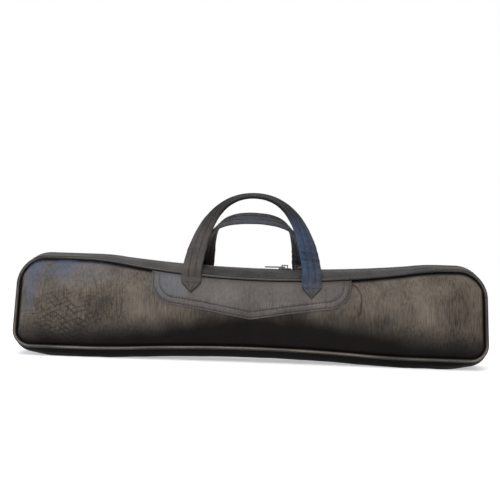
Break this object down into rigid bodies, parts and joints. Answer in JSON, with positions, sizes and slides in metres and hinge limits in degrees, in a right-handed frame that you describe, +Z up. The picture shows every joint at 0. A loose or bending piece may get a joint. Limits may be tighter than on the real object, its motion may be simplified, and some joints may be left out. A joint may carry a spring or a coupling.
{
  "type": "tenor recorder case",
  "caption": "Soft zipped leatherette carrying case for a tenor recorder, with piped waisted panels and a pair of strap handles.",
  "frame": {"origin": "middle of the case at the level of the surface it stands on", "axes": "+X along the case to its right seen from the front, +Y from the front panel to the back panel, +Z up through the handles"},
  "size_m": [0.4598, 0.0706, 0.1622],
  "materials": {
    "leatherette": "embossed satin leatherette, near black brown",
    "piping": "smooth satin leatherette over cord",
    "strap": "stitched satin leatherette",
    "padding": "grey foam sheet",
    "lining": "napped black cloth",
    "zip_tape": "woven black tape",
    "zip_teeth": "moulded black plastic",
    "zip_metal": "nickel plated"
  },
  "bodies": {
    "back_half": {"back_panel": "leatherette", "back_yoke": "leatherette", "back_piping": "piping", "back_foam": "padding", "back_lining": "lining", "back_zip_gusset": "leatherette", "back_zip_tape": "zip_tape", "back_zip_teeth": "zip_teeth", "back_foot_left": "strap", "back_foot_right": "strap", "bottom_gusset": "leatherette", "bottom_lining": "lining", "zip_end_tab_left": "leatherette", "zip_end_tab_right": "leatherette"},
    "front_half": {"front_panel": "leatherette", "front_yoke": "leatherette", "front_piping": "piping", "front_foam": "padding", "front_lining": "lining", "front_zip_gusset": "leatherette", "front_zip_tape": "zip_tape", "front_zip_teeth": "zip_teeth", "front_foot_left": "strap", "front_foot_right": "strap"},
    "front_grip": {"front_handle": "strap"},
    "back_grip": {"back_handle": "strap"},
    "left_slider": {"zip_slider_left": "zip_metal"},
    "right_slider": {"zip_slider_right": "zip_metal"},
    "left_pull": {"zip_pull_left": "zip_metal"},
    "right_pull": {"zip_pull_right": "zip_metal"}
  },
  "joints": [
    {"name": "open_front", "type": "hinge", "parent": "back_half", "child": "front_half", "pos_m": [0, -0.025, 0.01], "axis": [1, 0, 0], "range_deg": [0, 85]},
    {"name": "front_handle_swing", "type": "hinge", "parent": "front_half", "child": "front_grip", "pos_m": [0, -0.02885, 0.08741], "axis": [1, 0, 0], "range_deg": [0, 175]},
    {"name": "back_handle_swing", "type": "hinge", "parent": "back_half", "child": "back_grip", "pos_m": [0, 0.02885, 0.08741], "axis": [-1, 0, 0], "range_deg": [0, 195]},
    {"name": "left_slider_run", "type": "hinge", "parent": "back_half", "child": "left_slider", "pos_m": [0.015, 0, 1.44487], "axis": [0, 1, 0], "range_deg": [0, 6.37]},
    {"name": "right_slider_run", "type": "hinge", "parent": "back_half", "child": "right_slider", "pos_m": [0.015, 0, 1.44487], "axis": [0, -1, 0], "range_deg": [0, 4.42]},
    {"name": "left_pull_swing", "type": "hinge", "parent": "left_slider", "child": "left_pull", "pos_m": [0.03146, 0, 0.09288], "axis": [0, 1, 0], "range_deg": [0, 100]},
    {"name": "right_pull_swing", "type": "hinge", "parent": "right_slider", "child": "right_pull", "pos_m": [0.04444, 0, 0.0931], "axis": [0, -1, 0], "range_deg": [0, 55]}
  ]
}
